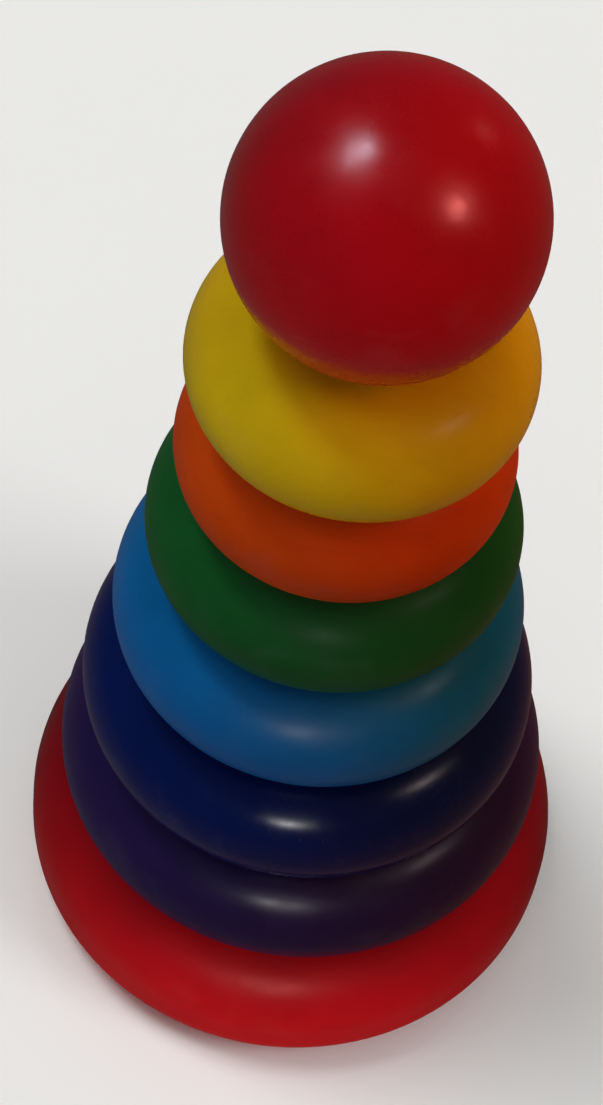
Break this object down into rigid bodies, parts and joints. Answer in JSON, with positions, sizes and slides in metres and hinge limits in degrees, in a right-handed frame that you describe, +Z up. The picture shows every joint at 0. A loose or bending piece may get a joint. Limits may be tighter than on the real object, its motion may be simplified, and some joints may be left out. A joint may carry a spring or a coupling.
{
  "type": "stacking ring toy",
  "caption": "Painted wooden stacking tower: a round base with a rod, thick round-edged rings in rainbow colours that lift off it, and a ball that caps the rod.",
  "frame": {"origin": "middle of the base disc's flat underside, which stands on the table", "axes": "+Z up along the rod, which every piece is turned about; X and Y are any two level directions"},
  "size_m": [0.108, 0.108, 0.2403],
  "materials": {
    "red_paint": "satin-gloss red lacquer on turned hardwood",
    "purple_paint": "satin-gloss purple lacquer on turned hardwood",
    "dark_blue_paint": "satin-gloss dark blue lacquer on turned hardwood",
    "light_blue_paint": "satin-gloss light blue lacquer on turned hardwood",
    "green_paint": "satin-gloss green lacquer on turned hardwood",
    "orange_paint": "satin-gloss orange lacquer on turned hardwood",
    "yellow_paint": "satin-gloss yellow lacquer on turned hardwood",
    "bare_wood": "sanded bare hardwood"
  },
  "bodies": {
    "base": {"base_disc": "red_paint", "rod": "bare_wood"},
    "purple": {"purple_ring": "purple_paint"},
    "dark_blue": {"dark_blue_ring": "dark_blue_paint"},
    "light_blue": {"light_blue_ring": "light_blue_paint"},
    "green": {"green_ring": "green_paint"},
    "orange": {"orange_ring": "orange_paint"},
    "yellow": {"yellow_ring": "yellow_paint"},
    "ball": {"ball": "red_paint"}
  },
  "joints": [
    {"name": "purple_lift", "type": "slide", "parent": "base", "child": "purple", "axis": [0, 0, 1], "range_m": [0, 0.19]},
    {"name": "dark_blue_lift", "type": "slide", "parent": "purple", "child": "dark_blue", "axis": [0, 0, 1], "range_m": [0, 0.163]},
    {"name": "light_blue_lift", "type": "slide", "parent": "dark_blue", "child": "light_blue", "axis": [0, 0, 1], "range_m": [0, 0.137]},
    {"name": "green_lift", "type": "slide", "parent": "light_blue", "child": "green", "axis": [0, 0, 1], "range_m": [0, 0.11]},
    {"name": "orange_lift", "type": "slide", "parent": "green", "child": "orange", "axis": [0, 0, 1], "range_m": [0, 0.083]},
    {"name": "yellow_lift", "type": "slide", "parent": "orange", "child": "yellow", "axis": [0, 0, 1], "range_m": [0, 0.056]},
    {"name": "ball_lift", "type": "slide", "parent": "yellow", "child": "ball", "axis": [0, 0, 1], "range_m": [0, 0.03]}
  ]
}
